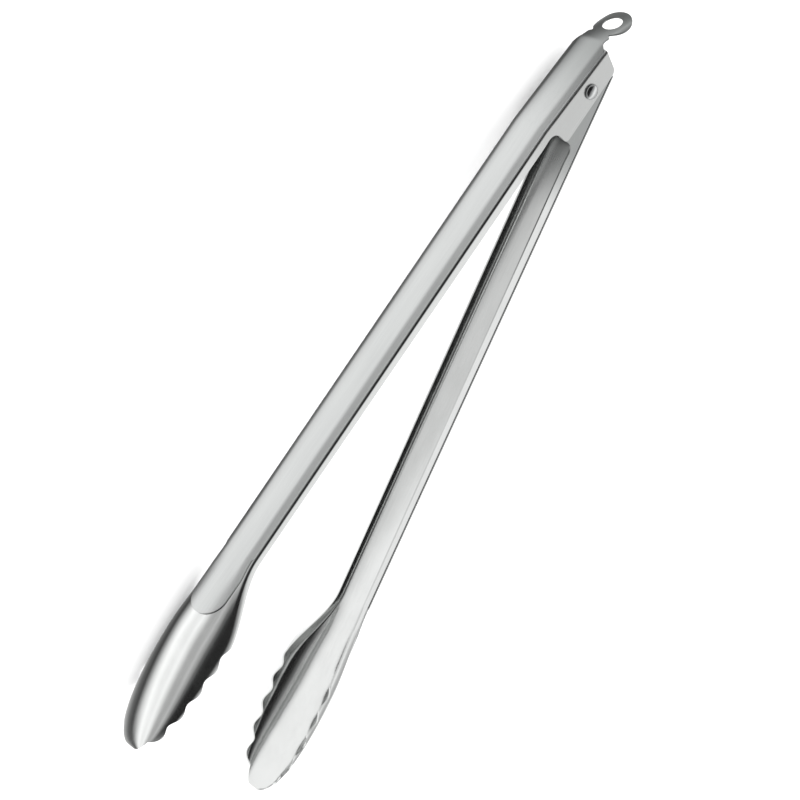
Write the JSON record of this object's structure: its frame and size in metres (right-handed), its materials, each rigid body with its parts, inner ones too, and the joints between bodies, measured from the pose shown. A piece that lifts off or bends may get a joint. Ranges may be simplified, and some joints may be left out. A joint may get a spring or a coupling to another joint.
{
  "type": "spring loaded kitchen tongs",
  "caption": "Long sheet-steel kitchen tongs: two channel arms with scalloped scoops, satin handle covers, a riveted sprung hinge, a hidden gravity lock and a fixed hanging ring.",
  "frame": {"origin": "centre of the bounding box in plan, at its lowest point, with the tongs lying on their side and open", "axes": "+X towards the scoops, -X towards the hanging ring, +Z along the pivot axis, the ring arm at -Y and the plain arm at +Y"},
  "size_m": [0.4598, 0.1104, 0.0431],
  "materials": {
    "satin_steel": "satin, fine grain along the arm",
    "polished_steel": "polished stainless steel",
    "rivet_steel": "polished",
    "spring_steel": "drawn wire",
    "plain_steel": "tumbled"
  },
  "bodies": {
    "ring_arm": {"ring_arm_handle": "satin_steel", "ring_arm_blade": "polished_steel", "pivot_rivet": "rivet_steel", "pivot_sleeve": "plain_steel", "torsion_spring": "spring_steel", "lock_catch": "plain_steel"},
    "plain_arm": {"plain_arm_handle": "satin_steel", "plain_arm_blade": "polished_steel", "latch_pin": "plain_steel"},
    "latch": {"lock_latch": "plain_steel"}
  },
  "joints": [
    {"name": "arm_hinge", "type": "hinge", "parent": "ring_arm", "child": "plain_arm", "pos_m": [-0.18294, 0, 0.02157], "axis": [0, 0, 1], "range_deg": [-13.2, 0], "stiffness_Nm_per_rad": 2, "springref_deg": 8.59, "deforming": ["torsion_spring"]},
    {"name": "latch_swing", "type": "hinge", "parent": "plain_arm", "child": "latch", "pos_m": [-0.16631, 0.00403, 0.02157], "axis": [0, 0, 1], "range_deg": [-30, 0]}
  ]
}
